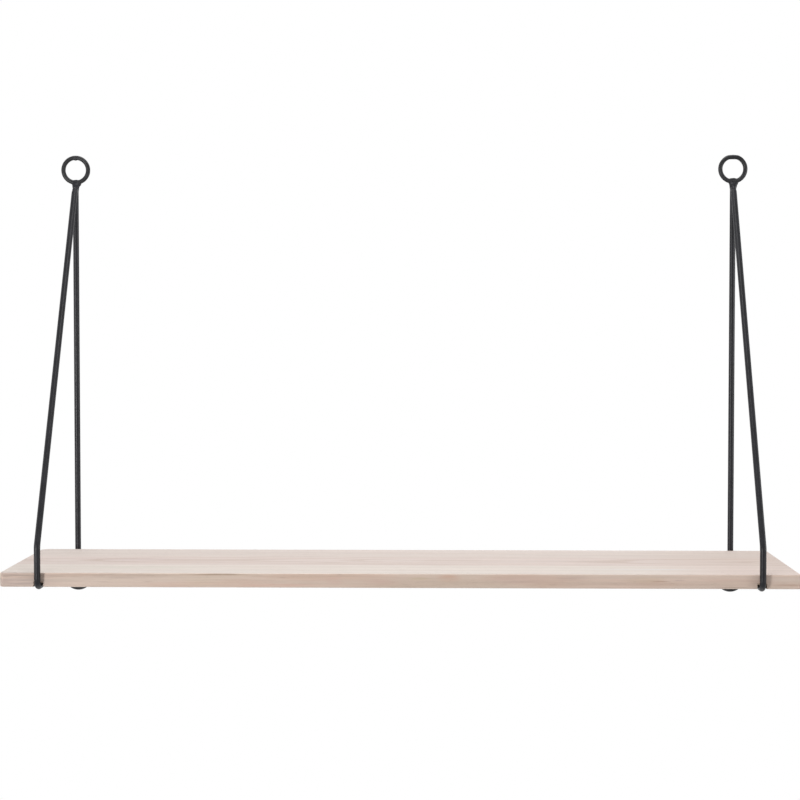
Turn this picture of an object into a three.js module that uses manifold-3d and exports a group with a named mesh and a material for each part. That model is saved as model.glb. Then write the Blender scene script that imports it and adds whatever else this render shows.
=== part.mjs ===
// A wall shelf: a board glued up from staves lies in two hangers, each bent from one round steel rod
// with an eye welded on above and below. Lengths are in millimetres. X runs along the wall, Y into it
// and Z up. The origin is on the wall, midway between the hangers, at the centres of the upper eyes.
import * as THREE from "three";
import { mergeVertices } from "three/addons/utils/BufferGeometryUtils.js";
import Module from "manifold-3d";

// Board
const boardLength = 1000;
const boardDepth = 250;
const boardThickness = 18;
const boardCornerRadius = 5;
const boardEasedEdge = 1.5;
const staveCount = 3;
const glueLine = 0.2;

// Grooves across the board's underside, which the rods lie in
const grooveWidth = 12;
const grooveDepth = 5;
const grooveMouthRound = 3;

// Hangers
const boardOverhang = 49;
const rodDiameter = 8;
const bottomBendRadius = 10;
const kinkBendRadius = 16;
const eyeToBoardTop = 523;
const boardTopToKink = 34;
const rearEndBelowEye = 4;
const slantEndBelowEye = 11;

// Eyes
const eyeDiameter = 40;
const eyeWireDiameter = 6;

// Welds. The upper one flares out to the eye, and a bead lies over the end of the slanting rod.
const upperWeldWidth = 12;
const upperWeldDepth = 10;
const upperWeldHeight = 9;
const upperWeldOnWire = 1.5;
const slantBeadDepth = 11;
const slantBeadHeight = 12;
const slantBeadAboveEnd = 2;
const lowerWeldWidth = 12;
const lowerWeldHeight = 10;
const lowerWeldDepth = 12;

// Clearances
const boardPlay = 2;
const seatGap = 0.3;
const cutOverrun = 10;

// Facets
const rodCurveSegments = 10;
const bendStepAngle = Math.PI / 12;
const eyeWireSegments = 16;
const eyeRingSegments = 44;
const weldWidthSegments = 20;
const weldHeightSegments = 12;
const cornerSegments = 5;

// Places along the wall
const hangerX = boardLength / 2 - boardOverhang;

// Places in the plane square to the wall
const rodRadius = rodDiameter / 2;
const eyeWireRadius = eyeWireDiameter / 2;
const eyeOuterRadius = eyeDiameter / 2;
const eyeRingRadius = eyeOuterRadius - eyeWireRadius;
const rearRodY = -rodRadius;
const boardRearY = rearRodY - rodRadius - boardPlay;
const boardFrontY = boardRearY - boardDepth;
const frontRodY = boardFrontY - boardPlay - rodRadius;
const boardTopZ = -eyeToBoardTop;
const boardBottomZ = boardTopZ - boardThickness;
const grooveTopZ = boardBottomZ + grooveDepth;
const baseRodZ = grooveTopZ - seatGap - rodRadius;
const kinkZ = boardTopZ + boardTopToKink;
const rearEndZ = -eyeOuterRadius - rearEndBelowEye;
const slantEndZ = -eyeOuterRadius - slantEndBelowEye;
const slantEndY = rearRodY - rodDiameter - seatGap;
const eyeY = -eyeWireRadius;

// The lower eye's wire lies against the outside of the rear bend.
const rearBendY = rearRodY - bottomBendRadius;
const rearBendZ = baseRodZ + bottomBendRadius;
const bendToEyeWire = bottomBendRadius + rodRadius + seatGap + eyeWireRadius;
const lowerEyeWireZ = rearBendZ - Math.sqrt(bendToEyeWire ** 2 - (eyeY - rearBendY) ** 2);
const lowerEyeZ = lowerEyeWireZ - eyeRingRadius;

const wasm = await Module();
wasm.setup();

const steel = { color: 0x2e2f32, roughness: 0.45, metalness: 0.3 };
const wood = { color: 0xdccdc4, roughness: 0.75, metalness: 0 };

// A closed geometry as a solid that can be cut and joined.
function solidOf(geometry) {
  const bare = geometry.clone();
  bare.deleteAttribute("normal");
  bare.deleteAttribute("uv");
  const merged = mergeVertices(bare);
  return new wasm.Manifold(
    new wasm.Mesh({
      numProp: 3,
      vertProperties: merged.attributes.position.array,
      triVerts: new Uint32Array(merged.index.array),
    }),
  );
}

// A solid back as a geometry with one normal for each face.
function geometryOf(solid) {
  const mesh = solid.getMesh();
  const indexed = new THREE.BufferGeometry();
  indexed.setAttribute("position", new THREE.BufferAttribute(mesh.vertProperties, mesh.numProp));
  indexed.setIndex(new THREE.BufferAttribute(mesh.triVerts, 1));
  const faceted = indexed.toNonIndexed();
  faceted.computeVertexNormals();
  return faceted;
}

function meshOf(name, geometry, finish) {
  const mesh = new THREE.Mesh(geometry, new THREE.MeshStandardMaterial(finish));
  mesh.name = name;
  return mesh;
}

// A rod's centre line: straight stretches between corners, each corner rounded to its own radius.
// Its stations lie at the ends of the straights and along the bends, so a straight takes one step.
class BentLine extends THREE.Curve {
  constructor(corners) {
    super();
    this.stations = [];
    corners.forEach(({ at, radius }, i) => {
      const before = corners[i - 1];
      const after = corners[i + 1];
      if (before && after) {
        this.addBend(before.at, at, after.at, radius);
      } else {
        const [from, to] = before ? [before.at, at] : [at, after.at];
        this.stations.push({ point: at, tangent: to.clone().sub(from).normalize() });
      }
    });
  }

  addBend(before, corner, after, radius) {
    const incoming = corner.clone().sub(before).normalize();
    const outgoing = after.clone().sub(corner).normalize();
    const angle = incoming.angleTo(outgoing);
    const inward = outgoing.clone().addScaledVector(incoming, -Math.cos(angle)).normalize();
    const start = corner.clone().addScaledVector(incoming, -radius * Math.tan(angle / 2));
    const centre = start.clone().addScaledVector(inward, radius);
    const steps = Math.ceil(angle / bendStepAngle);
    for (let i = 0; i <= steps; i += 1) {
      const turned = (angle * i) / steps;
      const point = centre
        .clone()
        .addScaledVector(inward, -radius * Math.cos(turned))
        .addScaledVector(incoming, radius * Math.sin(turned));
      const tangent = incoming
        .clone()
        .multiplyScalar(Math.cos(turned))
        .addScaledVector(inward, Math.sin(turned));
      this.stations.push({ point, tangent });
    }
  }

  station(share) {
    return this.stations[Math.round(share * (this.stations.length - 1))];
  }

  getPointAt(share) {
    return this.station(share).point.clone();
  }

  getTangentAt(share) {
    return this.station(share).tangent.clone();
  }
}

const inHangerPlane = (y, z) => new THREE.Vector3(0, y, z);

// The hanger's rod, from its upper end under the eye, down the wall, round under the board and back up
// to the rear stretch, which its other end leans on.
function hangerRodGeometry(radius) {
  const centreLine = new BentLine([
    { at: inHangerPlane(rearRodY, rearEndZ) },
    { at: inHangerPlane(rearRodY, baseRodZ), radius: bottomBendRadius },
    { at: inHangerPlane(frontRodY, baseRodZ), radius: bottomBendRadius },
    { at: inHangerPlane(frontRodY, kinkZ), radius: kinkBendRadius },
    { at: inHangerPlane(slantEndY, slantEndZ) },
  ]);
  const section = new THREE.Shape();
  section.absarc(0, 0, radius, 0, 2 * Math.PI);
  return new THREE.ExtrudeGeometry(section, {
    steps: centreLine.stations.length - 1,
    curveSegments: rodCurveSegments,
    bevelEnabled: false,
    extrudePath: centreLine,
  });
}

// A wire ring that faces the room, with its back flush with the wall.
function eyeGeometry(wireRadius, z) {
  const ring = new THREE.TorusGeometry(eyeRingRadius, wireRadius, eyeWireSegments, eyeRingSegments);
  return ring.rotateX(Math.PI / 2).translate(0, eyeY, z);
}

// A bead of weld metal, as an ellipsoid.
function beadSolid(halfWidth, halfDepth, halfHeight, centreY, centreZ) {
  const bead = new THREE.SphereGeometry(1, weldWidthSegments, weldHeightSegments);
  bead.rotateX(Math.PI / 2).scale(halfWidth, halfDepth, halfHeight).translate(0, centreY, centreZ);
  return solidOf(bead);
}

// A weld, cut clear of the rod and of the eye that it joins.
function weldGeometry(weld, eyeZ) {
  const rodRoom = solidOf(hangerRodGeometry(rodRadius + seatGap));
  const eyeRoom = solidOf(eyeGeometry(eyeWireRadius + seatGap, eyeZ));
  return geometryOf(weld.subtract(rodRoom).subtract(eyeRoom));
}

// How far the upper weld's flare stands out from the rod, as a share of the most, at shares of its height.
const flareShares = [
  [1, 0],
  [0.7, 0.35],
  [0.45, 0.7],
  [0.3, 1],
];

// The upper weld: the flare round the rear stretch's end up to the eye, with its back on the wall, and
// the bead over the end of the slanting stretch.
function upperWeldGeometry() {
  const topZ = -eyeOuterRadius + upperWeldOnWire;
  const bottomZ = topZ - upperWeldHeight;
  const rodRoomRadius = rodRadius + seatGap;
  const flareOut = upperWeldWidth / 2 - rodRoomRadius;
  const side = flareShares.map(
    ([out, down]) => new THREE.Vector2(rodRoomRadius + flareOut * out, topZ - upperWeldHeight * down),
  );
  const profile = [new THREE.Vector2(0, topZ), ...side, new THREE.Vector2(0, bottomZ)];
  const flare = new THREE.LatheGeometry(profile.reverse(), weldWidthSegments);
  flare.rotateX(Math.PI / 2).scale(1, upperWeldDepth / upperWeldWidth, 1);
  flare.translate(0, -upperWeldDepth / 2, 0);
  const slantBead = beadSolid(
    rodRadius,
    slantBeadDepth / 2,
    slantBeadHeight / 2,
    (rearRodY + slantEndY) / 2,
    slantEndZ + slantBeadAboveEnd,
  );
  return weldGeometry(solidOf(flare).add(slantBead), 0);
}

// The lower weld fills the corners between the rear bend and the lower eye.
function lowerWeldGeometry() {
  const bead = beadSolid(
    lowerWeldWidth / 2,
    lowerWeldDepth / 2,
    lowerWeldHeight / 2,
    -lowerWeldDepth / 2,
    lowerEyeWireZ + eyeWireRadius,
  );
  return weldGeometry(bead, lowerEyeZ);
}

// One hanger's meshes, in a group that is set at its place along the board.
function hanger(side, x) {
  const group = new THREE.Group();
  group.position.x = x;
  group.add(
    meshOf(`hanger_rod_${side}`, hangerRodGeometry(rodRadius), steel),
    meshOf(`upper_eye_${side}`, eyeGeometry(eyeWireRadius, 0), steel),
    meshOf(`lower_eye_${side}`, eyeGeometry(eyeWireRadius, lowerEyeZ), steel),
    meshOf(`upper_weld_${side}`, upperWeldGeometry(), steel),
    meshOf(`lower_weld_${side}`, lowerWeldGeometry(), steel),
  );
  return group;
}

// The board before it is cut: a slab with rounded corners and eased edges.
function boardSlab() {
  const x = boardLength / 2;
  const r = boardCornerRadius;
  const plan = new THREE.Shape();
  plan.absarc(x - r, boardFrontY + r, r, -Math.PI / 2, 0);
  plan.absarc(x - r, boardRearY - r, r, 0, Math.PI / 2);
  plan.absarc(-x + r, boardRearY - r, r, Math.PI / 2, Math.PI);
  plan.absarc(-x + r, boardFrontY + r, r, Math.PI, (3 * Math.PI) / 2);
  const slab = new THREE.ExtrudeGeometry(plan, {
    depth: boardThickness - 2 * boardEasedEdge,
    curveSegments: cornerSegments,
    bevelThickness: boardEasedEdge,
    bevelSize: boardEasedEdge,
    bevelOffset: -boardEasedEdge,
    bevelSegments: cornerSegments,
  });
  return solidOf(slab.translate(0, 0, boardBottomZ + boardEasedEdge));
}

// The cutter of one groove. Where it leaves the board, its roof rounds upwards clear of the rod's bends.
function grooveCutter(x) {
  const round = grooveMouthRound;
  const roofZ = grooveTopZ + round;
  const floorZ = boardBottomZ - cutOverrun;
  const outline = new THREE.Shape();
  outline.moveTo(boardFrontY - cutOverrun, floorZ);
  outline.lineTo(boardRearY + cutOverrun, floorZ);
  outline.lineTo(boardRearY + cutOverrun, roofZ);
  outline.absarc(boardRearY - round, roofZ, round, 0, -Math.PI / 2, true);
  outline.absarc(boardFrontY + round, roofZ, round, -Math.PI / 2, -Math.PI, true);
  outline.lineTo(boardFrontY - cutOverrun, roofZ);
  const cutter = new THREE.ExtrudeGeometry(outline, {
    depth: grooveWidth,
    curveSegments: cornerSegments,
    bevelEnabled: false,
  });
  // The outline's first axis becomes Y, its second Z, and the extrusion runs along X.
  cutter.rotateX(Math.PI / 2).rotateZ(Math.PI / 2);
  return solidOf(cutter.translate(x - grooveWidth / 2, 0, 0));
}

// The saw cut between two staves, which the glue fills.
function glueCutter(y) {
  const length = boardLength + 2 * cutOverrun;
  const height = boardThickness + 2 * cutOverrun;
  const sheet = new THREE.BoxGeometry(length, glueLine, height);
  return solidOf(sheet.translate(0, y, (boardTopZ + boardBottomZ) / 2));
}

// The staves, counted from the wall outwards.
function board() {
  let slab = boardSlab();
  for (const x of [-hangerX, hangerX]) {
    slab = slab.subtract(grooveCutter(x));
  }
  for (let i = 1; i < staveCount; i += 1) {
    slab = slab.subtract(glueCutter(boardRearY - (boardDepth * i) / staveCount));
  }
  const staves = slab.decompose();
  staves.sort((a, b) => b.boundingBox().max[1] - a.boundingBox().max[1]);
  const group = new THREE.Group();
  staves.forEach((stave, i) => {
    group.add(meshOf(`board_stave_${i + 1}`, geometryOf(stave), wood));
  });
  return group;
}

const shelf = new THREE.Group();
shelf.add(board(), hanger("left", -hangerX), hanger("right", hangerX));

export default shelf;
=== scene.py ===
import math

import bmesh
import bpy
import numpy as np
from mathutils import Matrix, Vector, noise


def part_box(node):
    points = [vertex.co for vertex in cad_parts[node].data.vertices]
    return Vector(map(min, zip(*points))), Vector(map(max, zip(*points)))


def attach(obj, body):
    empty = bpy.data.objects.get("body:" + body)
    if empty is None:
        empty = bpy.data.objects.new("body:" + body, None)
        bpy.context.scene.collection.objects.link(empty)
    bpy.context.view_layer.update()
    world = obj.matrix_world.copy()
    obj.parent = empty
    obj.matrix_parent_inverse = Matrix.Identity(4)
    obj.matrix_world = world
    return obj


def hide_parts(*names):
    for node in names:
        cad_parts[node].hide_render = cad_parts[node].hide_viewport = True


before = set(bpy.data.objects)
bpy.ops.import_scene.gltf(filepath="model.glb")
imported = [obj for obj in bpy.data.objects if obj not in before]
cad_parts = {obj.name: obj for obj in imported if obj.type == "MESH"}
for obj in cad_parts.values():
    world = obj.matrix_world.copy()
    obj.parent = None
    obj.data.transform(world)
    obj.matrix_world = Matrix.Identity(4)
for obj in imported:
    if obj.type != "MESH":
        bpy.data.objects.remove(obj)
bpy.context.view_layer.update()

SIDES = (("left", -1), ("right", 1))

# Board
STAVES = 3
EASED_EDGE = 0.0015
EASED_STEPS = 6
CORNER_RADIUS = 0.005
WORN_CORNER_RADIUS = 0.011
CORNER_STEPS = 12
SEAM_EASE = 0.00012
GROOVE_WIDTH = 0.012
GROOVE_DEPTH = 0.005
GROOVE_MOUTH_ROUND = 0.003
GROOVE_EDGE_EASE = 0.0002
MOUTH_STEPS = 8
CUT_OVERRUN = 0.02
# How near a groove's wall an edge still counts as on it, and how sharp the edges are that get eased
ON_WALL = 1e-6
GROOVE_EDGE_ANGLE = math.radians(40)
SAW_TOLERANCE = 1e-7
MERGE_DISTANCE = 0.000005
WOOD_SHARP_ANGLE = math.radians(25)

# Hangers
ROD_RADIUS = 0.004
ROD_SIDES = 40
BOTTOM_BEND_RADIUS = 0.010
KINK_BEND_RADIUS = 0.016
KINK_ABOVE_BOARD = 0.034
REAR_END_Z = -0.024
SLANT_END_Z = -0.031
SEAT_GAP = 0.0003
BEND_STEP = math.radians(2.5)
BEND_FLATTENING = 0.03
STRAIGHT_STEP = 0.02
END_CHAMFER = 0.0005
STEEL_SHARP_ANGLE = math.radians(40)

# Eyes
EYE_OUTER_RADIUS = 0.020
EYE_WIRE_RADIUS = 0.003
EYE_STEPS = 180
EYE_SIDES = 32
# Each eye is closed at its far side from the weld. The wire swells into the hole there, by twice the
# first number, or its line dips by the second.
UPPER_CLOSURES = {"left": (0.00042, 0.0), "right": (0.00010, 0.0007)}
LOWER_CLOSURE = (0.00015, 0.0)
SWELL_HALF_ANGLE = math.radians(6)
DIP_HALF_ANGLE = 3 * SWELL_HALF_ANGLE

# Welds: the grid they are joined on, how long they are relaxed, and their lumps
WELD_VOXEL = 0.0004
WELD_RELAX = 26
BEAD_WALL_GAP = WELD_VOXEL / 10
LUMP_HEIGHT = 0.00022
LUMPS_PER_METRE = 330
FINE_LUMP_SCALE = 2.7
FINE_LUMP_SHARE = 0.4
UPPER_BEAD_SEED = 3.0
LOWER_BEAD_SEED = 8.0
# The parts of rods and eyes inside a bead thin by this share towards their ends
BEAD_EDGE_SINK = 0.2
ARC_STEPS = 24
# The arc of each eye inside its bead, in degrees from the ring's right
UPPER_BEAD_ARC = (232, 308)
LOWER_BEAD_ARC = (52, 128)
# The rods inside an upper bead: heights above the slanting rod's end, and distances along it
REAR_ROD_IN_BEAD = (0.011, -0.004, -0.010)
SLANT_ROD_IN_BEAD = (0.0, 0.005, 0.012)
LOWER_BEAD_REACH = 0.018
FLARE_ABOVE_EYE_BOTTOM = 0.0015
FLARE_STRETCH = {"left": 1.0, "right": 1.3}
# The flare under an upper eye: distance down from its top, half width, half depth
FLARE = (
    (0.0, 0.0062, 0.0030),
    (0.0014, 0.0060, 0.0036),
    (0.0029, 0.0054, 0.0041),
    (0.0044, 0.0050, 0.0043),
    (0.0060, 0.0046, 0.0043),
    (0.0078, 0.0043, 0.0042),
    (0.0105, 0.0041, 0.0041),
)
FLARE_LEAN = 0.0007  # how far its top leans to the right
# The lump at the flare's right: X from the rod's, Y, Z from the flare's top; and its half sizes
FLARE_LUMP = ((0.0046, -0.0030, -0.0012), (0.0028, 0.0027, 0.0024))
# The fillet inside an upper eye: half depth, and each hanger's half width and height
FILLET_HALF_DEPTH = 0.0021
INNER_FILLETS = {"left": (0.0040, 0.0010), "right": (0.0062, 0.0019)}
# Lumps of filler on a rod's line: Y, height above the slanting rod's end or the lower eye's top, and
# half sizes
SLANT_LUMPS = (
    (-0.0092, 0.0024, (0.0039, 0.0054, 0.0056)),
    (-0.0122, 0.0006, (0.0039, 0.0040, 0.0030)),
    (-0.0092, -0.0036, (0.0037, 0.0024, 0.0040)),
)
LOWER_LUMPS = (
    (-0.0050, -0.0006, (0.0064, 0.0046, 0.0040)),
    (-0.0078, 0.0006, (0.0046, 0.0040, 0.0030)),
)


def colour(red, green, blue):
    """A colour that is written as it looks on a screen, 0 to 255, as a shader's linear colour."""
    shares = [c / 255 for c in (red, green, blue)]
    return (*[s / 12.92 if s <= 0.04045 else ((s + 0.055) / 1.055) ** 2.4 for s in shares], 1.0)


# --- Meshes ---


def mesh_object(name, vertices, faces):
    mesh = bpy.data.meshes.new(name)
    mesh.from_pydata([tuple(v) for v in vertices], [], [tuple(f) for f in faces])
    mesh.validate()
    made = bpy.data.objects.new(name, mesh)
    bpy.context.scene.collection.objects.link(made)
    return made


def applied(thing):
    """The object with its modifiers made part of its mesh."""
    bpy.context.view_layer.update()
    graph = bpy.context.evaluated_depsgraph_get()
    mesh = bpy.data.meshes.new_from_object(thing.evaluated_get(graph))
    thing.modifiers.clear()
    old = thing.data
    thing.data = mesh
    bpy.data.meshes.remove(old)
    mesh.name = thing.name
    return thing


def smooth(thing, sharp_angle):
    """Smooth shading, except across edges sharper than the angle, with flat faces kept flat."""
    mesh = thing.data
    mesh.polygons.foreach_set("use_smooth", [True] * len(mesh.polygons))
    mesh.set_sharp_from_angle(angle=sharp_angle)
    weighted = thing.modifiers.new("flat faces stay flat", "WEIGHTED_NORMAL")
    weighted.keep_sharp = True
    weighted.weight = 100
    return thing


def tube(points, normal, in_plane, across, sides, closed=False):
    """Vertices and faces of a tube along points that lie in the plane square to normal.

    in_plane and across are the section's radii in that plane and along normal, one for each point."""
    points = np.array(points, float)
    count = len(points)
    if closed:
        tangents = np.roll(points, -1, 0) - np.roll(points, 1, 0)
    else:
        tangents = np.gradient(points, axis=0)
    tangents /= np.linalg.norm(tangents, axis=1)[:, None]
    normal = np.array(normal, float)
    aside = np.cross(tangents, normal)
    angles = np.linspace(0, 2 * math.pi, sides, endpoint=False)
    rings = (
        points[:, None]
        + np.cos(angles)[None, :, None] * aside[:, None] * np.asarray(in_plane)[:, None, None]
        + np.sin(angles)[None, :, None] * normal * np.asarray(across)[:, None, None]
    )
    faces = []
    for i in range(count if closed else count - 1):
        here, there = i * sides, (i + 1) % count * sides
        for j in range(sides):
            k = (j + 1) % sides
            faces.append((here + j, there + j, there + k, here + k))
    if not closed:
        faces.append(tuple(range(sides)))
        faces.append(tuple(reversed(range((count - 1) * sides, count * sides))))
    return rings.reshape(-1, 3), faces


def capped(points, radius, chamfer):
    """The points with one more near each end, and radii that chamfer both ends."""
    points = [Vector(p) for p in points]
    first = points[0] + (points[1] - points[0]).normalized() * chamfer
    last = points[-1] + (points[-2] - points[-1]).normalized() * chamfer
    radii = [radius - chamfer] + [radius] * len(points) + [radius - chamfer]
    return [points[0], first, *points[1:-1], last, points[-1]], radii


def bent_line(corners):
    """Points along straights whose corners are rounded, and how bent the line is at each point.

    A corner is a place and the radius that rounds it. Bend is 0 on a straight and 1 in mid-corner."""
    points = []
    bent = []

    def straight(start, end):
        steps = max(1, round((end - start).length / STRAIGHT_STEP))
        for i in range(1, steps):
            points.append(start.lerp(end, i / steps))
            bent.append(0.0)

    at = Vector(corners[0][0])
    points.append(at)
    bent.append(0.0)
    for i in range(1, len(corners) - 1):
        corner, radius = Vector(corners[i][0]), corners[i][1]
        after = Vector(corners[i + 1][0])
        incoming = (corner - Vector(corners[i - 1][0])).normalized()
        outgoing = (after - corner).normalized()
        angle = incoming.angle(outgoing)
        inward = (outgoing - incoming * math.cos(angle)).normalized()
        start = corner - incoming * radius * math.tan(angle / 2)
        centre = start + inward * radius
        straight(at, start)
        steps = math.ceil(angle / BEND_STEP)
        for j in range(steps + 1):
            turned = angle * j / steps
            points.append(
                centre - inward * radius * math.cos(turned) + incoming * radius * math.sin(turned)
            )
            bent.append(math.sin(math.pi * j / steps))
        at = points[-1]
    end = Vector(corners[-1][0])
    straight(at, end)
    points.append(end)
    bent.append(0.0)
    return points, bent


def blob(centre, radii):
    """Vertices and faces of an ellipsoid, a lump of filler in a weld."""
    ball = bmesh.new()
    bmesh.ops.create_icosphere(ball, subdivisions=4, radius=1)
    vertices = [
        tuple(c + r * x for c, r, x in zip(centre, radii, v.co)) for v in ball.verts
    ]
    faces = [tuple(v.index for v in f.verts) for f in ball.faces]
    ball.free()
    return vertices, faces


def lumps(x, z, table):
    """A blob for each row of a table of lumps, on the line of the rod at x, with heights from z."""
    return [blob((x, y, z + height), radii) for y, height, radii in table]


def fused(name, parts, seed):
    """One bead: closed parts joined on a fine grid, relaxed so that hollows fill, then made lumpy."""
    vertices = []
    faces = []
    for part_vertices, part_faces in parts:
        first = len(vertices)
        vertices.extend(part_vertices)
        faces.extend(tuple(first + i for i in face) for face in part_faces)
    bead = mesh_object(name, vertices, faces)
    grid = bead.modifiers.new("grid", "REMESH")
    grid.mode = "VOXEL"
    grid.voxel_size = WELD_VOXEL
    relax = bead.modifiers.new("relax", "SMOOTH")
    relax.factor = 0.5
    relax.iterations = WELD_RELAX
    applied(bead)
    mesh = bead.data
    normals = [v.normal.copy() for v in mesh.vertices]
    offset = Vector((seed, 0, 0))
    for vertex, normal in zip(mesh.vertices, normals):
        wave = noise.noise(vertex.co * LUMPS_PER_METRE + offset)
        fine = noise.noise(vertex.co * LUMPS_PER_METRE * FINE_LUMP_SCALE - offset)
        vertex.co += normal * LUMP_HEIGHT * (wave + FINE_LUMP_SHARE * fine)
        vertex.co.y = min(vertex.co.y, -BEAD_WALL_GAP)
    mesh.polygons.foreach_set("use_smooth", [True] * len(mesh.polygons))
    return bead


# --- Board ---

rear_low, rear_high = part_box("board_stave_1")
front_low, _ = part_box("board_stave_3")
BOARD_X = rear_high.x
REAR_Y = rear_high.y
FRONT_Y = front_low.y
TOP_Z = rear_high.z
BOTTOM_Z = rear_low.z
STAVE_DEPTH = (REAR_Y - FRONT_Y) / STAVES
rod_low, rod_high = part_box("hanger_rod_right")
HANGER_X = (rod_low.x + rod_high.x) / 2


def plan_loop(inset):
    """The board's outline seen from above, drawn in by inset, as pairs of x and y."""
    corners = (
        (BOARD_X, FRONT_Y, 1, -1, CORNER_RADIUS, -90),
        (BOARD_X, REAR_Y, 1, 1, CORNER_RADIUS, 0),
        (-BOARD_X, REAR_Y, -1, 1, WORN_CORNER_RADIUS, 90),
        (-BOARD_X, FRONT_Y, -1, -1, CORNER_RADIUS, 180),
    )
    loop = []
    for x, y, side_x, side_y, radius, start in corners:
        for i in range(CORNER_STEPS + 1):
            angle = math.radians(start + 90 * i / CORNER_STEPS)
            reach = radius - inset
            loop.append(
                (
                    x - side_x * radius + reach * math.cos(angle),
                    y - side_y * radius + reach * math.sin(angle),
                )
            )
    return loop


def slab():
    """The whole board before it is grooved and sawn, with its edges eased by a quarter round."""
    levels = []
    for i in range(EASED_STEPS + 1):
        angle = math.pi / 2 * i / EASED_STEPS
        inset = EASED_EDGE * (1 - math.sin(angle))
        rise = EASED_EDGE * (1 - math.cos(angle))
        levels.append((inset, rise))
    rings = [(inset, BOTTOM_Z + rise) for inset, rise in levels]
    rings += [(inset, TOP_Z - rise) for inset, rise in reversed(levels)]
    vertices = []
    for inset, z in rings:
        vertices.extend((x, y, z) for x, y in plan_loop(inset))
    count = len(plan_loop(0))
    faces = [tuple(reversed(range(count)))]
    for i in range(len(rings) - 1):
        for j in range(count):
            k = (j + 1) % count
            faces.append(
                (i * count + j, i * count + k, (i + 1) * count + k, (i + 1) * count + j)
            )
    faces.append(tuple(range((len(rings) - 1) * count, len(rings) * count)))
    return mesh_object("slab", vertices, faces)


def groove_cutter(x):
    """What the router takes away for one rod; its roof rounds up where it leaves the board."""
    roof_z = BOTTOM_Z + GROOVE_DEPTH
    turn_z = roof_z + GROOVE_MOUTH_ROUND
    floor_z = BOTTOM_Z - CUT_OVERRUN
    outline = [(FRONT_Y - CUT_OVERRUN, floor_z), (REAR_Y + CUT_OVERRUN, floor_z)]
    outline.append((REAR_Y + CUT_OVERRUN, turn_z))
    for mouth_y, start in ((REAR_Y - GROOVE_MOUTH_ROUND, 0), (FRONT_Y + GROOVE_MOUTH_ROUND, -90)):
        for i in range(MOUTH_STEPS + 1):
            angle = math.radians(start - 90 * i / MOUTH_STEPS)
            outline.append(
                (
                    mouth_y + GROOVE_MOUTH_ROUND * math.cos(angle),
                    turn_z + GROOVE_MOUTH_ROUND * math.sin(angle),
                )
            )
    outline.append((FRONT_Y - CUT_OVERRUN, turn_z))
    count = len(outline)
    vertices = [(x - GROOVE_WIDTH / 2, y, z) for y, z in outline]
    vertices += [(x + GROOVE_WIDTH / 2, y, z) for y, z in outline]
    faces = [tuple(reversed(range(count))), tuple(range(count, 2 * count))]
    for i in range(count):
        j = (i + 1) % count
        faces.append((i, j, count + j, count + i))
    return mesh_object("groove cutter", vertices, faces)


def cut(thing, cutter):
    subtract = thing.modifiers.new("cut", "BOOLEAN")
    subtract.operation = "DIFFERENCE"
    subtract.solver = "EXACT"
    subtract.object = cutter
    applied(thing)
    bpy.data.objects.remove(cutter)


def ease_edges(shape, edges, width):
    bmesh.ops.bevel(
        shape, geom=edges, offset=width, segments=2, affect="EDGES", profile=0.5, clamp_overlap=True
    )


def ease_grooves(thing):
    """Softens the grooves' rims, which are the sharp outward edges in line with their walls."""
    shape = bmesh.new()
    shape.from_mesh(thing.data)
    edges = []
    for edge in shape.edges:
        off_wall = max(
            abs(abs(abs(v.co.x) - HANGER_X) - GROOVE_WIDTH / 2) for v in edge.verts
        )
        if off_wall < ON_WALL and edge.is_manifold:
            if edge.calc_face_angle_signed() > GROOVE_EDGE_ANGLE:
                edges.append(edge)
    ease_edges(shape, edges, GROOVE_EDGE_EASE)
    shape.to_mesh(thing.data)
    shape.free()


def stave(whole, number):
    """One stave sawn out of the cut slab; number counts from the wall outwards."""
    shape = bmesh.new()
    shape.from_mesh(whole.data)
    near = REAR_Y - STAVE_DEPTH * (number - 1)
    far = near - STAVE_DEPTH
    for y, towards in ((near, 1), (far, -1)):
        if not FRONT_Y + EASED_EDGE < y < REAR_Y - EASED_EDGE:
            continue
        everything = shape.verts[:] + shape.edges[:] + shape.faces[:]
        sawn = bmesh.ops.bisect_plane(
            shape,
            geom=everything,
            dist=SAW_TOLERANCE,
            plane_co=(0, y, 0),
            plane_no=(0, towards, 0),
            clear_outer=True,
        )
        rim = [e for e in sawn["geom_cut"] if isinstance(e, bmesh.types.BMEdge)]
        filled = bmesh.ops.contextual_create(shape, geom=rim)["faces"]
        ease_edges(shape, list({e for f in filled for e in f.edges}), SEAM_EASE)
    bmesh.ops.remove_doubles(shape, verts=shape.verts[:], dist=MERGE_DISTANCE)
    bmesh.ops.dissolve_degenerate(shape, edges=shape.edges[:], dist=MERGE_DISTANCE)
    bmesh.ops.recalc_face_normals(shape, faces=shape.faces[:])
    mesh = bpy.data.meshes.new(f"stave_{number}")
    shape.to_mesh(mesh)
    shape.free()
    made = bpy.data.objects.new(f"stave_{number}", mesh)
    bpy.context.scene.collection.objects.link(made)
    return smooth(made, WOOD_SHARP_ANGLE)


def board():
    """The staves, from the wall outwards."""
    whole = slab()
    for _, side in SIDES:
        cut(whole, groove_cutter(side * HANGER_X))
    ease_grooves(whole)
    staves = [stave(whole, number) for number in range(1, STAVES + 1)]
    bpy.data.objects.remove(whole)
    return staves


# --- Hangers ---

REAR_ROD_Y = -ROD_RADIUS
FRONT_ROD_Y = rod_low.y + ROD_RADIUS
BASE_ROD_Z = rod_low.z + ROD_RADIUS
KINK_Z = TOP_Z + KINK_ABOVE_BOARD
SLANT_END_Y = REAR_ROD_Y - 2 * ROD_RADIUS - SEAT_GAP


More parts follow.
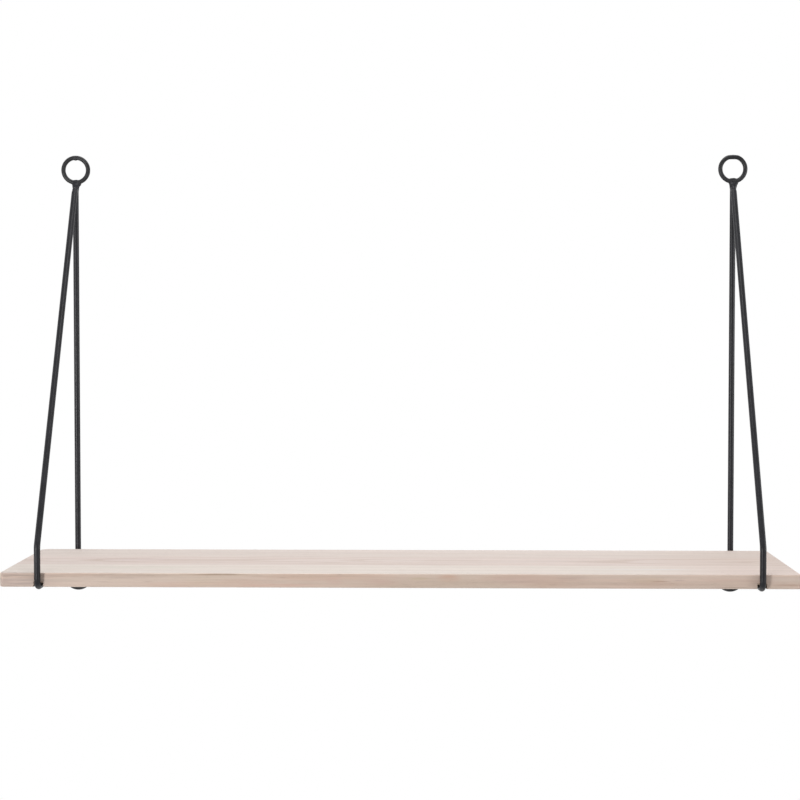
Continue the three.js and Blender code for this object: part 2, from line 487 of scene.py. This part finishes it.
def hanger_rod(name, x):
    """One hanger's rod, from its rear end down, under the board and up to its slanting end."""
    corners = (
        ((x, REAR_ROD_Y, REAR_END_Z), 0),
        ((x, REAR_ROD_Y, BASE_ROD_Z), BOTTOM_BEND_RADIUS),
        ((x, FRONT_ROD_Y, BASE_ROD_Z), BOTTOM_BEND_RADIUS),
        ((x, FRONT_ROD_Y, KINK_Z), KINK_BEND_RADIUS),
        ((x, SLANT_END_Y, SLANT_END_Z), 0),
    )
    points, bent = bent_line(corners)
    points, radii = capped(points, ROD_RADIUS, END_CHAMFER)
    bent = np.array([0.0, *bent, 0.0])
    in_plane = np.array(radii) * (1 - BEND_FLATTENING * bent)
    across = np.array(radii) * (1 + BEND_FLATTENING / 2 * bent)
    vertices, faces = tube(points, (1, 0, 0), in_plane, across, ROD_SIDES)
    return smooth(mesh_object(name, vertices, faces), STEEL_SHARP_ANGLE)


def eye(name, node, seam, flat):
    """A ring of wire in the place of a node, closed at its top for an upper eye, its bottom below.

    At the closure the wire swells inwards by twice seam, and its line dips by flat."""
    low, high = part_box(node)
    centre = (low + high) / 2
    away = 1 if node.startswith("upper") else -1
    points = []
    in_plane = []
    for i in range(EYE_STEPS):
        angle = 2 * math.pi * i / EYE_STEPS
        off = min(angle, 2 * math.pi - angle)
        swell = seam * math.exp(-((off / SWELL_HALF_ANGLE) ** 2))
        dip = flat * math.exp(-((off / DIP_HALF_ANGLE) ** 4))
        reach = EYE_OUTER_RADIUS - EYE_WIRE_RADIUS - dip - swell
        points.append(
            (centre.x + reach * math.sin(angle), centre.y, centre.z + away * reach * math.cos(angle))
        )
        in_plane.append(EYE_WIRE_RADIUS + swell)
    across = [EYE_WIRE_RADIUS] * EYE_STEPS
    vertices, faces = tube(points, (0, 1, 0), in_plane, across, EYE_SIDES, closed=True)
    return smooth(mesh_object(name, vertices, faces), STEEL_SHARP_ANGLE)


def ring_arc(centre, start, end):
    """Part of an eye, for a weld. It thins at its ends so that the bead's edge sinks into the wire.

    Angles are in degrees from the ring's right."""
    reach = EYE_OUTER_RADIUS - EYE_WIRE_RADIUS
    along = np.linspace(-1, 1, ARC_STEPS)
    angles = np.radians((start + end) / 2 + (end - start) / 2 * along)
    points = [
        (centre.x + reach * math.cos(a), centre.y, centre.z + reach * math.sin(a)) for a in angles
    ]
    radii = EYE_WIRE_RADIUS * (1 - BEAD_EDGE_SINK * along**4)
    return tube(points, (0, 1, 0), radii, radii, EYE_SIDES)


def rod_piece(points):
    """Part of a rod, for a weld. It thins at its last point so that the bead's edge sinks in."""
    radii = [ROD_RADIUS] * (len(points) - 1) + [ROD_RADIUS * (1 - BEAD_EDGE_SINK)]
    return tube(points, (1, 0, 0), radii, radii, ROD_SIDES)


def upper_weld(name, side, x, seed, stretch):
    """The weld under an upper eye: a flare round the rear rod's end, and a bead that ties in the
    slanting rod's end.

    stretch lengthens the flare."""
    low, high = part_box(f"upper_eye_{side}")
    centre = (low + high) / 2
    top_z = centre.z - EYE_OUTER_RADIUS + FLARE_ABOVE_EYE_BOTTOM
    slant = Vector((0, FRONT_ROD_Y - SLANT_END_Y, KINK_Z - SLANT_END_Z)).normalized()
    slant_top = Vector((x, SLANT_END_Y, SLANT_END_Z))
    inner_z = centre.z - EYE_OUTER_RADIUS + 2 * EYE_WIRE_RADIUS
    fillet_width, fillet_height = INNER_FILLETS[side]
    (lump_x, lump_y, lump_z), lump_radii = FLARE_LUMP
    downs, halves, depths = zip(*FLARE)
    flare = []
    for down, depth in zip(downs, depths):
        lean = FLARE_LEAN * (1 - down / downs[-1])
        flare.append((x + lean, min(-EYE_WIRE_RADIUS, -depth), top_z - down * stretch))
    parts = [
        ring_arc(centre, *UPPER_BEAD_ARC),
        rod_piece([(x, REAR_ROD_Y, SLANT_END_Z + height) for height in REAR_ROD_IN_BEAD]),
        rod_piece([slant_top + slant * along for along in SLANT_ROD_IN_BEAD]),
        tube(flare, (1, 0, 0), depths, halves, ROD_SIDES),
        blob((x, -EYE_WIRE_RADIUS, inner_z), (fillet_width, FILLET_HALF_DEPTH, fillet_height)),
        blob((x + lump_x, lump_y, top_z + lump_z), lump_radii),
        *lumps(x, SLANT_END_Z, SLANT_LUMPS),
    ]
    return fused(name, parts, seed)


def lower_weld(name, side, x, seed):
    """The weld between the rear bend and the top of a lower eye."""
    low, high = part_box(f"lower_eye_{side}")
    centre = (low + high) / 2
    top_z = centre.z + EYE_OUTER_RADIUS
    bend = bent_line(
        (
            ((x, REAR_ROD_Y, BASE_ROD_Z + LOWER_BEAD_REACH), 0),
            ((x, REAR_ROD_Y, BASE_ROD_Z), BOTTOM_BEND_RADIUS),
            ((x, REAR_ROD_Y - LOWER_BEAD_REACH, BASE_ROD_Z), 0),
        )
    )[0]
    middle = len(bend) // 2
    parts = [
        ring_arc(centre, *LOWER_BEAD_ARC),
        rod_piece(bend[middle + 1 :: -1]),
        rod_piece(bend[middle:]),
        *lumps(x, top_z, LOWER_LUMPS),
    ]
    return fused(name, parts, seed)


# --- Materials ---


class Graph:
    """Short ways to add a material's nodes. An input is a value or another node's output."""

    def __init__(self, name):
        self.material = bpy.data.materials.new(name)
        self.material.use_nodes = True
        self.tree = self.material.node_tree
        self.tree.nodes.clear()

    def feed(self, socket, value):
        if isinstance(value, bpy.types.NodeSocket):
            self.tree.links.new(value, socket)
        else:
            socket.default_value = value

    def node(self, kind, inputs, **settings):
        made = self.tree.nodes.new(kind)
        for key, value in settings.items():
            setattr(made, key, value)
        for key, value in inputs.items():
            self.feed(made.inputs[key], value)
        return made

    def math(self, operation, a, b=0.0):
        return self.node("ShaderNodeMath", {0: a, 1: b}, operation=operation).outputs[0]

    def vector(self, operation, a, b):
        return self.node("ShaderNodeVectorMath", {0: a, 1: b}, operation=operation).outputs[0]

    def scaled(self, vector, scale):
        made = self.node("ShaderNodeVectorMath", {0: vector, "Scale": scale}, operation="SCALE")
        return made.outputs[0]

    def noise(self, vector, stretch, detail=3.0, roughness=0.55):
        """Noise with as many features to the metre along each axis as stretch says."""
        placed = self.vector("MULTIPLY", vector, stretch)
        inputs = {"Vector": placed, "Scale": 1.0, "Detail": detail, "Roughness": roughness}
        return self.node("ShaderNodeTexNoise", inputs).outputs[0]

    def step(self, value, low, high, to_low=0.0, to_high=1.0):
        """Rises smoothly from to_low to to_high as value goes from low to high."""
        inputs = {0: value, 1: low, 2: high, 3: to_low, 4: to_high}
        made = self.node("ShaderNodeMapRange", inputs, interpolation_type="SMOOTHSTEP")
        return made.outputs[0]

    def mix(self, share, a, b):
        return self.node("ShaderNodeMix", {0: share, 6: a, 7: b}, data_type="RGBA").outputs[2]

    def parts(self, vector):
        return self.node("ShaderNodeSeparateXYZ", {0: vector}).outputs

    def join(self, x, y, z):
        return self.node("ShaderNodeCombineXYZ", {0: x, 1: y, 2: z}).outputs[0]

    def coordinates(self, kind):
        return self.node("ShaderNodeTexCoord", {}).outputs[kind]

    def inside(self, value, low, high):
        """How far value is inside the span from low to high."""
        off_middle = self.math("ABSOLUTE", self.math("SUBTRACT", value, (low + high) / 2))
        return self.math("SUBTRACT", (high - low) / 2, off_middle)

    def surface(self, base, roughness, height, bump_strength, specular):
        """The finished material; height is its relief in metres."""
        bump = self.node(
            "ShaderNodeBump", {"Height": height, "Distance": 1.0, "Strength": bump_strength}
        )
        inputs = {
            "Base Color": base,
            "Roughness": roughness,
            "Specular IOR Level": specular,
            "Normal": bump.outputs[0],
        }
        shader = self.node("ShaderNodeBsdfPrincipled", inputs)
        output = self.node("ShaderNodeOutputMaterial", {})
        self.tree.links.new(shader.outputs[0], output.inputs[0])
        return self.material


# Marks in the wood: centre, half lengths along the three axes, strength and colour.
STAVE_MARKS = {
    1: (
        ((-0.120, -0.040, TOP_Z), (0.200, 0.010, 0.006), 0.35, colour(222, 206, 198)),
        ((0.260, -0.066, TOP_Z), (0.160, 0.008, 0.006), 0.30, colour(214, 199, 188)),
    ),
    2: (
        ((-0.330, -0.146, TOP_Z), (0.120, 0.013, 0.006), 0.45, colour(218, 198, 190)),
        ((-0.060, -0.160, TOP_Z), (0.190, 0.008, 0.006), 0.30, colour(220, 204, 194)),
        ((0.210, -0.130, TOP_Z), (0.170, 0.008, 0.006), 0.35, colour(216, 200, 190)),
        ((-0.350, -0.122, TOP_Z), (0.095, 0.022, 0.006), 0.45, colour(214, 192, 188)),
        ((0.330, -0.113, TOP_Z), (0.140, 0.0042, 0.006), 0.60, colour(196, 178, 166)),
        ((-0.090, -0.152, TOP_Z), (0.030, 0.0035, 0.006), 0.50, colour(200, 184, 172)),
    ),
    3: (
        ((-0.330, -0.205, TOP_Z), (0.110, 0.016, 0.004), 0.55, colour(228, 224, 211)),
        ((0.300, -0.212, TOP_Z), (0.120, 0.010, 0.004), 0.55, colour(236, 231, 228)),
        ((0.040, -0.228, TOP_Z), (0.180, 0.010, 0.004), 0.35, colour(232, 220, 212)),
        ((0.330, -0.211, TOP_Z), (0.095, 0.0040, 0.004), 0.60, colour(242, 240, 241)),
        ((-0.230, FRONT_Y, TOP_Z - 0.0016), (0.060, 0.010, 0.0015), 0.60, colour(164, 140, 120)),
        ((-0.225, FRONT_Y, TOP_Z - 0.0010), (0.034, 0.010, 0.0012), 0.70, colour(136, 112, 90)),
        ((-0.360, FRONT_Y, TOP_Z - 0.0036), (0.110, 0.010, 0.0050), 0.60, colour(178, 160, 150)),
        ((-0.500, FRONT_Y, TOP_Z - 0.0090), (0.110, 0.012, 0.0200), 0.60, colour(174, 156, 150)),
        ((-0.478, FRONT_Y, TOP_Z - 0.0034), (0.030, 0.010, 0.0018), 0.50, colour(150, 134, 128)),
        ((-0.484, FRONT_Y, TOP_Z - 0.0120), (0.034, 0.012, 0.0060), 0.50, colour(186, 166, 158)),
        ((-0.428, FRONT_Y, TOP_Z - 0.0046), (0.014, 0.010, 0.0010), 0.55, colour(150, 136, 130)),
        ((-0.367, FRONT_Y, TOP_Z - 0.0118), (0.012, 0.010, 0.0008), 0.55, colour(168, 146, 134)),
        ((-0.314, FRONT_Y, TOP_Z - 0.0108), (0.010, 0.010, 0.0007), 0.50, colour(170, 148, 136)),
        ((-0.273, FRONT_Y, TOP_Z - 0.0062), (0.014, 0.010, 0.0008), 0.50, colour(166, 150, 140)),
        ((-0.240, FRONT_Y, TOP_Z - 0.0100), (0.050, 0.012, 0.0090), 0.40, colour(212, 194, 172)),
        ((-0.150, FRONT_Y, TOP_Z - 0.0150), (0.090, 0.012, 0.0030), 0.50, colour(212, 172, 158)),
        ((-0.080, FRONT_Y, TOP_Z - 0.0085), (0.016, 0.012, 0.0080), 0.45, colour(212, 178, 166)),
        ((-0.020, FRONT_Y, TOP_Z - 0.0110), (0.030, 0.012, 0.0060), 0.45, colour(206, 170, 158)),
        ((0.026, FRONT_Y, TOP_Z - 0.0060), (0.020, 0.012, 0.0030), 0.40, colour(200, 184, 150)),
        ((0.062, FRONT_Y, TOP_Z - 0.0050), (0.020, 0.012, 0.0070), 0.60, colour(206, 166, 144)),
        ((0.145, FRONT_Y, TOP_Z - 0.0080), (0.050, 0.012, 0.0060), 0.40, colour(204, 174, 166)),
        ((0.215, FRONT_Y, TOP_Z - 0.0050), (0.030, 0.012, 0.0050), 0.40, colour(190, 168, 158)),
        ((0.325, FRONT_Y, TOP_Z - 0.0088), (0.016, 0.008, 0.0011), 0.65, colour(166, 120, 102)),
        ((0.306, FRONT_Y, TOP_Z - 0.0070), (0.036, 0.012, 0.0060), 0.35, colour(200, 176, 148)),
        ((0.349, FRONT_Y, TOP_Z - 0.0070), (0.010, 0.010, 0.0012), 0.45, colour(176, 150, 150)),
        ((0.414, FRONT_Y, TOP_Z - 0.0156), (0.034, 0.010, 0.0010), 0.55, colour(166, 142, 124)),
        ((0.480, FRONT_Y, TOP_Z - 0.0060), (0.030, 0.012, 0.0040), 0.40, colour(226, 212, 202)),
        ((0.484, FRONT_Y, TOP_Z - 0.0130), (0.026, 0.012, 0.0018), 0.55, colour(180, 142, 122)),
    ),
}

# Each stave's heart, the middle of the tree it came from: its place from the stave's middle along Y
# and Z, how far it runs off along Y and Z over a metre of X, and the width of a ring.
STAVE_HEARTS = {
    1: (0.095, -0.060, 0.012, 0.006, 0.0075),
    2: (0.006, -0.052, -0.010, 0.034, 0.0062),
    3: (-0.105, -0.030, 0.008, -0.010, 0.0068),
}
# Each stave's tones: broad faces, the same towards the board's right end, and the long edge.
STAVE_TONES = {
    1: (colour(237, 225, 218), colour(231, 217, 209), colour(214, 194, 181)),
    2: (colour(233, 218, 211), colour(229, 213, 204), colour(214, 194, 181)),
    3: (colour(241, 231, 223), colour(239, 223, 215), colour(216, 195, 180)),
}
# Other tones of the wood
COOL_EDGE = colour(217, 202, 194)
# The long edges' tone towards the right end: paler, painted light for the end that the lamps light
# less
RIGHT_EDGE_PAINTED_LIGHT = colour(223, 201, 187)
UNDERSIDE = colour(212, 196, 184)
SAWN_END = colour(200, 178, 160)
PINK_PATCH = colour(208, 172, 154)
GREY_PATCH = colour(200, 186, 170)
RING_LINE = colour(196, 170, 150)
RING_LINE_AT_END = colour(158, 130, 108)
# Bare routed wood in the grooves, darkened as painted shade in the recess
ROUTED_GROOVE_AND_SHADE = colour(176, 150, 126)
ROD_RUB = colour(104, 96, 90)
# Each stave's patterns are the same ones, shifted by this times its number.
STAVE_SHIFT = (1.7, 0.31, 0.13)
# Features to the metre along X, Y and Z
SWAY_Y_STRETCH = (1.9, 5, 5)
SWAY_Z_STRETCH = (2.3, 7, 7)
RIPPLE_STRETCH = (14, 90, 90)
FIBRE_STRETCH = (9, 520, 520)
STRIPE_STRETCH = (1.1, 40, 60)
PATCH_STRETCH = (7.0, 14, 60)
THREAD_STRETCH = (34, 2600, 2600)
PORE_STRETCH = (60, 1500, 1500)
WOBBLE_STRETCH = (26, 8, 8)
MARK_GRAIN_STRETCH = (22, 300, 420)
RINGS_STRETCH = (1, 48, 1)
YEAR_STRETCH = (1, 0.37, 1)
# How far noise moves the rings and the marks, in metres, and how many rings their width wanders by
SWAY_Y = 0.016
SWAY_Z = 0.022
RIPPLE = 0.0016
MARK_WOBBLE = 0.0022
RING_WANDER = 2.6
# How much the figure darkens the wood, and how far it stands up or down, in metres
STRIPE_DARK = 0.045
FIBRE_DARK = 0.07
THREAD_DARK = 0.03
PORE_DARK = 0.20
# Painted highlight and wear along the eased edges: how much paler they are painted
EDGE_WEAR_AND_HIGHLIGHT = 0.025
RING_DIP = 0.00003
FIBRE_RISE = 0.00004
PORE_DIP = 0.00006


def wood(number):
    """The wood of one stave: rings about its own heart, fibres, pores, whitewash and marks."""
    g = Graph(f"whitewashed_wood_{number}")
    place = g.coordinates("Object")
    shifted = g.vector("ADD", place, [shift * number for shift in STAVE_SHIFT])
    normal = g.parts(g.coordinates("Normal"))
    x, y, z = g.parts(place)

    # Rings: a soft dark line of pores at the start of each year, fading into paler late wood
    heart_y, heart_z, run_y, run_z, ring_width = STAVE_HEARTS[number]
    middle_y = REAR_Y - STAVE_DEPTH * (number - 0.5)
    middle_z = (TOP_Z + BOTTOM_Z) / 2
    elsewhere = g.vector("ADD", shifted, (5, 5, 5))
    sway_y = g.math("SUBTRACT", g.noise(shifted, SWAY_Y_STRETCH, 2.0), 0.5)
    sway_z = g.math("SUBTRACT", g.noise(elsewhere, SWAY_Z_STRETCH, 2.0), 0.5)
    ripple = g.math("SUBTRACT", g.noise(shifted, RIPPLE_STRETCH, 3.0), 0.5)
    from_heart_y = g.math("SUBTRACT", y, middle_y + heart_y)
    from_heart_y = g.math("SUBTRACT", from_heart_y, g.math("MULTIPLY", x, run_y))
    from_heart_z = g.math("SUBTRACT", z, middle_z + heart_z)
    from_heart_z = g.math("SUBTRACT", from_heart_z, g.math("MULTIPLY", x, run_z))
    bent_y = g.math("ADD", from_heart_y, g.math("MULTIPLY", sway_y, SWAY_Y))
    bent_z = g.math("ADD", from_heart_z, g.math("MULTIPLY", sway_z, SWAY_Z))
    across = g.join(0.0, bent_y, bent_z)
    distance = g.node("ShaderNodeVectorMath", {0: across}, operation="LENGTH").outputs["Value"]
    distance = g.math("ADD", distance, g.math("MULTIPLY", ripple, RIPPLE))
    wander = g.math("MULTIPLY", g.noise(g.join(0.0, distance, 0.0), RINGS_STRETCH, 2.0), RING_WANDER)
    phase = g.math("ADD", g.math("DIVIDE", distance, ring_width), wander)
    within = g.math("FRACT", phase)
    opening = g.step(within, 0.0, 0.10)
    fading = g.step(within, 0.14, 0.62, 1.0, 0.0)
    year = g.noise(g.join(0.0, g.math("FLOOR", phase), 0.0), YEAR_STRETCH, 1.0)
    growth = g.step(year, 0.30, 0.62, 0.45, 1.0)
    early = g.math("MULTIPLY", g.math("MULTIPLY", opening, fading), growth)

    # Fibres, pores and broad stripes. Pores crowd into each ring's early wood.
    fibre = g.noise(shifted, FIBRE_STRETCH, 5.0, 0.65)
    stripe = g.noise(shifted, STRIPE_STRETCH, 4.0, 0.6)
    patch = g.noise(shifted, PATCH_STRETCH, 3.0)
    thread = g.noise(shifted, THREAD_STRETCH, 3.0, 0.6)
    rarity = g.math("SUBTRACT", 0.665, g.math("MULTIPLY", early, 0.09))
    pore = g.math("SUBTRACT", g.noise(shifted, PORE_STRETCH, 2.0), rarity)
    pores = g.step(pore, 0.0, 0.08)

    # Faces: the long edges are browner than the broad faces, and the sawn ends darker still
    edge_share = g.step(g.math("ABSOLUTE", normal[1]), 0.5, 0.9)
    end_share = g.step(g.math("ABSOLUTE", normal[0]), 0.5, 0.9)
    under_share = g.step(normal[2], -0.9, -0.5, 1.0, 0.0)
    face_colour, right_colour, edge_colour = STAVE_TONES[number]
    face_colour = g.mix(g.step(x, 0.28, 0.43), face_colour, right_colour)
    cool_left = g.step(x, -0.40, -0.05, 0.20, 0.0)
    edge_colour = g.mix(cool_left, edge_colour, COOL_EDGE)
    # Painted light: the long edges are painted paler towards the right end, which the lamps light
    # less
    edge_colour = g.mix(g.step(x, 0.06, 0.34), edge_colour, RIGHT_EDGE_PAINTED_LIGHT)
    base = g.mix(edge_share, face_colour, edge_colour)
    base = g.mix(g.math("MULTIPLY", under_share, 0.65), base, UNDERSIDE)
    base = g.mix(end_share, base, SAWN_END)

    # Pink and grey patches, strongest on the long edges
    warm = g.step(patch, 0.48, 0.66)
    grey = g.step(patch, 0.52, 0.36)
    patch_share = g.step(edge_share, 0.0, 1.0, 0.05, 0.30)
    base = g.mix(g.math("MULTIPLY", warm, patch_share), base, PINK_PATCH)
    base = g.mix(g.math("MULTIPLY", grey, patch_share), base, GREY_PATCH)

    # Marks
    wobble = g.math("SUBTRACT", g.noise(shifted, WOBBLE_STRETCH, 2.0), 0.5)
    wobble = g.math("MULTIPLY", wobble, MARK_WOBBLE)
    marked_place = g.vector("ADD", place, g.join(0.0, wobble, wobble))
    grain = g.step(g.noise(shifted, MARK_GRAIN_STRETCH, 3.0), 0.36, 0.58, 0.35, 1.0)
    for centre, halves, strength, tint in STAVE_MARKS[number]:
        off_centre = g.vector("SUBTRACT", marked_place, centre)
        reach = g.vector("MULTIPLY", off_centre, [1 / half for half in halves])
        length = g.node("ShaderNodeVectorMath", {0: reach}, operation="LENGTH").outputs["Value"]
        share = g.math("MULTIPLY", g.step(length, 0.15, 1.0, strength, 0.0), grain)
        base = g.mix(share, base, tint)

    # Light and dark of the figure
    dark = g.step(stripe, 0.64, 0.36, 0.0, STRIPE_DARK)
    dark = g.math("ADD", dark, g.step(fibre, 0.64, 0.36, 0.0, FIBRE_DARK))
    dark = g.math("ADD", dark, g.step(thread, 0.66, 0.34, -THREAD_DARK, THREAD_DARK))
    dark = g.math("ADD", dark, g.math("MULTIPLY", pores, PORE_DARK))

    # Edges painted paler, partly wear and partly a painted highlight where the eased edges catch the
    # light: of the distances to the board's three pairs of faces, the middle one is about the
    # distance to its nearest edge.
    to_end = g.inside(x, -BOARD_X, BOARD_X)
    to_side = g.inside(y, FRONT_Y, REAR_Y)
    to_face = g.inside(z, BOTTOM_Z, TOP_Z)
    lesser = g.math("MINIMUM", to_end, to_side)
    greater = g.math("MAXIMUM", to_end, to_side)
    to_edge = g.math("MAXIMUM", lesser, g.math("MINIMUM", greater, to_face))
    near_edge = g.step(to_edge, 0.0004, 0.0030, 1.0, 0.0)
    wear_and_highlight = g.math("MULTIPLY", near_edge, g.step(stripe, 0.4, 0.6, 0.5, 1.0))
    dark = g.math("SUBTRACT", dark, g.math("MULTIPLY", wear_and_highlight, EDGE_WEAR_AND_HIGHLIGHT))

    # Grooves: bare routed wood, darkened as painted shade in the recess, with a grey rub where the
    # rod lies
    off_rod = g.math("ABSOLUTE", g.math("SUBTRACT", g.math("ABSOLUTE", x), HANGER_X))
    between_walls = g.math("LESS_THAN", off_rod, GROOVE_WIDTH / 2 + 0.0001)
    above_rim = g.math("GREATER_THAN", z, BOTTOM_Z + GROOVE_EDGE_EASE)
    below_roof = g.math("LESS_THAN", z, BOTTOM_Z + GROOVE_DEPTH + GROOVE_MOUTH_ROUND * 0.8)
    in_groove = g.math("MULTIPLY", between_walls, g.math("MULTIPLY", above_rim, below_roof))
    base = g.mix(g.math("MULTIPLY", in_groove, 0.7), base, ROUTED_GROOVE_AND_SHADE)
    rub = g.math("MULTIPLY", in_groove, g.step(off_rod, 0.0006, 0.0024, 0.45, 0.0))
    base = g.mix(rub, base, ROD_RUB)

    # Ring lines, strongest on the sawn ends
    ring_share = g.math("MULTIPLY", early, g.step(end_share, 0.0, 1.0, 0.34, 0.62))
    base = g.mix(ring_share, base, g.mix(end_share, RING_LINE, RING_LINE_AT_END))
    tinted = g.scaled(base, g.math("SUBTRACT", 1.0, dark))
    roughness = g.math("ADD", 0.60, g.math("MULTIPLY", fibre, 0.22))
    height = g.math("MULTIPLY", early, -RING_DIP)
    height = g.math("ADD", height, g.math("MULTIPLY", fibre, FIBRE_RISE))
    height = g.math("SUBTRACT", height, g.math("MULTIPLY", pores, PORE_DIP))
    return g.surface(tinted, roughness, height, bump_strength=0.5, specular=0.30)


# Paint: features to the metre, and how far its peel stands up on drawn steel and on a weld
CLOUD_STRETCH = (38, 38, 38)
PEEL_STRETCH = (700, 700, 700)
FLECK_STRETCH = (420, 420, 160)
FLECK = colour(92, 92, 94)
SMOOTH_PEEL = 0.000012
ROUGH_PEEL = 0.00003


def painted_steel(name, tint, paler_tint, peel_height):
    """Satin black paint: a faint orange peel, clouded gloss and a few rubbed flecks."""
    g = Graph(name)
    place = g.coordinates("Object")
    cloud = g.noise(place, CLOUD_STRETCH, 3.0)
    peel = g.noise(place, PEEL_STRETCH, 2.0)
    fleck = g.step(g.noise(place, FLECK_STRETCH, 3.0, 0.6), 0.68, 0.74)
    base = g.mix(g.step(cloud, 0.35, 0.65, 0.0, 0.8), tint, paler_tint)
    base = g.mix(g.math("MULTIPLY", fleck, 0.25), base, FLECK)
    roughness = g.math("ADD", 0.27, g.math("MULTIPLY", cloud, 0.20))
    height = g.math("MULTIPLY", peel, peel_height)
    return g.surface(base, roughness, height, bump_strength=0.6, specular=0.25)


# --- Pieces ---


def dress(piece, body, node, material):
    """Gives a piece its material and the body that it rides on, and hides the node that it stands
    for.
    """
    piece.data.materials.clear()
    piece.data.materials.append(material)
    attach(piece, body)
    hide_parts(node)


for number, piece in enumerate(board(), start=1):
    dress(piece, "board", f"board_stave_{number}", wood(number))

rod_paint = painted_steel("satin_black_steel", colour(19, 19, 23), colour(32, 32, 37), SMOOTH_PEEL)
# The eyes have the rods' black paint, written paler: a painted sheen for the highlights along their
# wires
eye_paint_with_painted_sheen = painted_steel("satin_black_wire_painted_paler", colour(30, 30, 32), colour(46, 46, 48), SMOOTH_PEEL)
weld_paint = painted_steel("painted_weld", colour(21, 21, 25), colour(32, 32, 37), ROUGH_PEEL)
for side, sign in SIDES:
    at = sign * HANGER_X
    rod = hanger_rod(f"rod_{side}", at)
    dress(rod, "hangers", f"hanger_rod_{side}", rod_paint)
    for level, closure in (("upper", UPPER_CLOSURES[side]), ("lower", LOWER_CLOSURE)):
        node = f"{level}_eye_{side}"
        ring = eye(f"{level}_ring_{side}", node, *closure)
        dress(ring, "hangers", node, eye_paint_with_painted_sheen)
    bead = upper_weld(f"upper_bead_{side}", side, at, UPPER_BEAD_SEED + sign, FLARE_STRETCH[side])
    dress(bead, "hangers", f"upper_weld_{side}", weld_paint)
    bead = lower_weld(f"lower_bead_{side}", side, at, LOWER_BEAD_SEED + sign)
    dress(bead, "hangers", f"lower_weld_{side}", weld_paint)

# --- Studio ---

DOME_STRENGTH = 0.38
FLOOR_Z = -3.6
FLOOR_SIZE = 8.0
FLOOR_GREY = 0.82
# Area lamps: name, place, target, size and power
LAMPS = (
    ("key", (-1.47, -2.18, -0.42), (0.0, -0.26, -0.53), 0.45, 27.6),
    ("right fill", (2.15, -1.40, -0.25), (0.30, -0.20, -0.45), 0.70, 9.0),
    ("high front", (0.0, -0.70, 0.94), (0.0, -0.15, -0.25), 0.45, 3.6),
    ("right side", (2.10, -0.35, -0.05), (0.30, -0.05, -0.20), 0.60, 6.5),
    ("left side", (-2.10, -0.35, -0.05), (-0.30, -0.05, -0.20), 0.60, 3.0),
    ("overhead", (-0.02, 0.20, 1.25), (0.0, -0.14, -0.52), 1.60, 15),
    ("bounce", (0.0, 0.20, -2.60), (0.0, -0.12, -0.54), 2.00, 11),
)
# The camera as fitted to the photo's edges: place, how far it looks down and to the left, in
# degrees, and its lens in millimetres
CAMERA_PLACE = (0.0536, -2.5659, -0.2163)
CAMERA_DOWN = 2.237
CAMERA_LEFT = 1.290
CAMERA_LENS = 83.71
CAMERA_SENSOR = 36


def white_to_camera(tree, shader):
    """The shader's light, shown as plain white to the camera and in reflections."""
    path = tree.nodes.new("ShaderNodeLightPath")
    seen = path.outputs["Is Camera Ray"]
    for name in ("Is Glossy Ray", "Is Transmission Ray"):
        either = tree.nodes.new("ShaderNodeMath")
        either.operation = "MAXIMUM"
        tree.links.new(seen, either.inputs[0])
        tree.links.new(path.outputs[name], either.inputs[1])
        seen = either.outputs[0]
    for_world = shader.bl_idname == "ShaderNodeBackground"
    white = tree.nodes.new("ShaderNodeBackground" if for_world else "ShaderNodeEmission")
    white.inputs["Color"].default_value = (1, 1, 1, 1)
    white.inputs["Strength"].default_value = 1.0
    mixed = tree.nodes.new("ShaderNodeMixShader")
    tree.links.new(seen, mixed.inputs[0])
    tree.links.new(shader.outputs[0], mixed.inputs[1])
    tree.links.new(white.outputs[0], mixed.inputs[2])
    return mixed.outputs[0]


def dome(strength):
    world = bpy.data.worlds.new("studio")
    bpy.context.scene.world = world
    world.use_nodes = True
    tree = world.node_tree
    tree.nodes.clear()
    light = tree.nodes.new("ShaderNodeBackground")
    light.inputs["Color"].default_value = (1, 1, 1, 1)
    light.inputs["Strength"].default_value = strength
    output = tree.nodes.new("ShaderNodeOutputWorld")
    tree.links.new(white_to_camera(tree, light), output.inputs[0])


def floor():
    half = FLOOR_SIZE / 2
    sides = ((-half, -half), (half, -half), (half, half), (-half, half))
    plane = mesh_object("floor", [(x, y, FLOOR_Z) for x, y in sides], [(0, 1, 2, 3)])
    material = bpy.data.materials.new("pale_floor")
    material.use_nodes = True
    tree = material.node_tree
    tree.nodes.clear()
    matt = tree.nodes.new("ShaderNodeBsdfDiffuse")
    matt.inputs["Color"].default_value = (FLOOR_GREY, FLOOR_GREY, FLOOR_GREY, 1)
    output = tree.nodes.new("ShaderNodeOutputMaterial")
    tree.links.new(white_to_camera(tree, matt), output.inputs[0])
    plane.data.materials.append(material)


def lamp(name, place, target, size, power):
    light = bpy.data.lights.new(name, "AREA")
    light.shape = "SQUARE"
    light.size = size
    light.energy = power
    made = bpy.data.objects.new(name, light)
    bpy.context.scene.collection.objects.link(made)
    made.location = place
    made.rotation_euler = (Vector(target) - Vector(place)).to_track_quat("-Z", "Y").to_euler()
    made.visible_camera = False


dome(DOME_STRENGTH)
floor()
for row in LAMPS:
    lamp(*row)

camera = bpy.data.cameras.new("camera")
camera.sensor_width = CAMERA_SENSOR
camera.lens = CAMERA_LENS
camera.clip_end = 50
camera_object = bpy.data.objects.new("camera", camera)
bpy.context.scene.collection.objects.link(camera_object)
camera_object.location = CAMERA_PLACE
camera_object.rotation_euler = (math.radians(90 - CAMERA_DOWN), 0, math.radians(CAMERA_LEFT))
bpy.context.scene.camera = camera_object
bpy.context.scene.view_settings.view_transform = "Standard"
